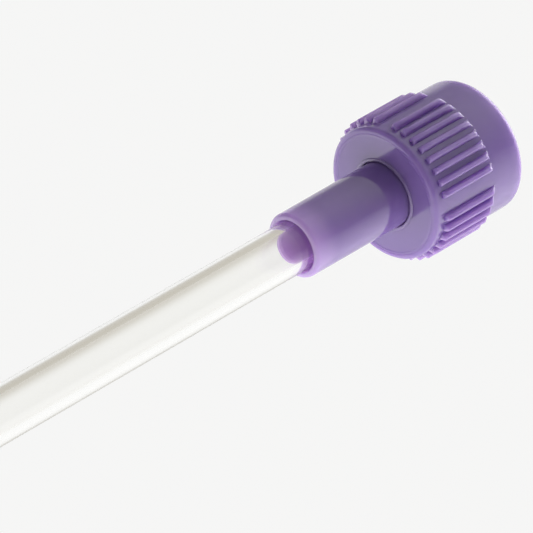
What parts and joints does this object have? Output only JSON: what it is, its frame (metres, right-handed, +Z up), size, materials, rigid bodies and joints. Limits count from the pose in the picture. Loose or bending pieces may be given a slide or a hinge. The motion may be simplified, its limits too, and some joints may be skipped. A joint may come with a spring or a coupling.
{
  "type": "medicine straw",
  "caption": "Clear rigid straw bonded in a purple moulded hub with a hollow male cone and a swivelling ribbed lock collar, for drawing liquid medicine into a syringe.",
  "frame": {"origin": "under the middle of the part's bounding box, level with the lowest rib of the collar", "axes": "+X along the straw from its open tip to the lock collar's open end, +Z up from the surface that the collar's ribs lie on, +Y completes a right-handed frame"},
  "size_m": [0.1404, 0.0152, 0.0152],
  "materials": {
    "purple_plastic": "glossy moulded purple plastic, slightly translucent at thin edges",
    "purple_plastic_collar": "glossy moulded purple plastic, slightly translucent at thin edges",
    "clear_plastic": "clear rigid plastic, polished"
  },
  "bodies": {
    "straw": {"connector_hub": "purple_plastic", "straw_tube": "clear_plastic"},
    "collar": {"lock_collar": "purple_plastic_collar"}
  },
  "joints": [
    {"name": "collar_swivel", "type": "hinge", "parent": "straw", "child": "collar", "pos_m": [0.05747, 0, 0.00762], "axis": [1, 0, 0], "continuous": true}
  ]
}
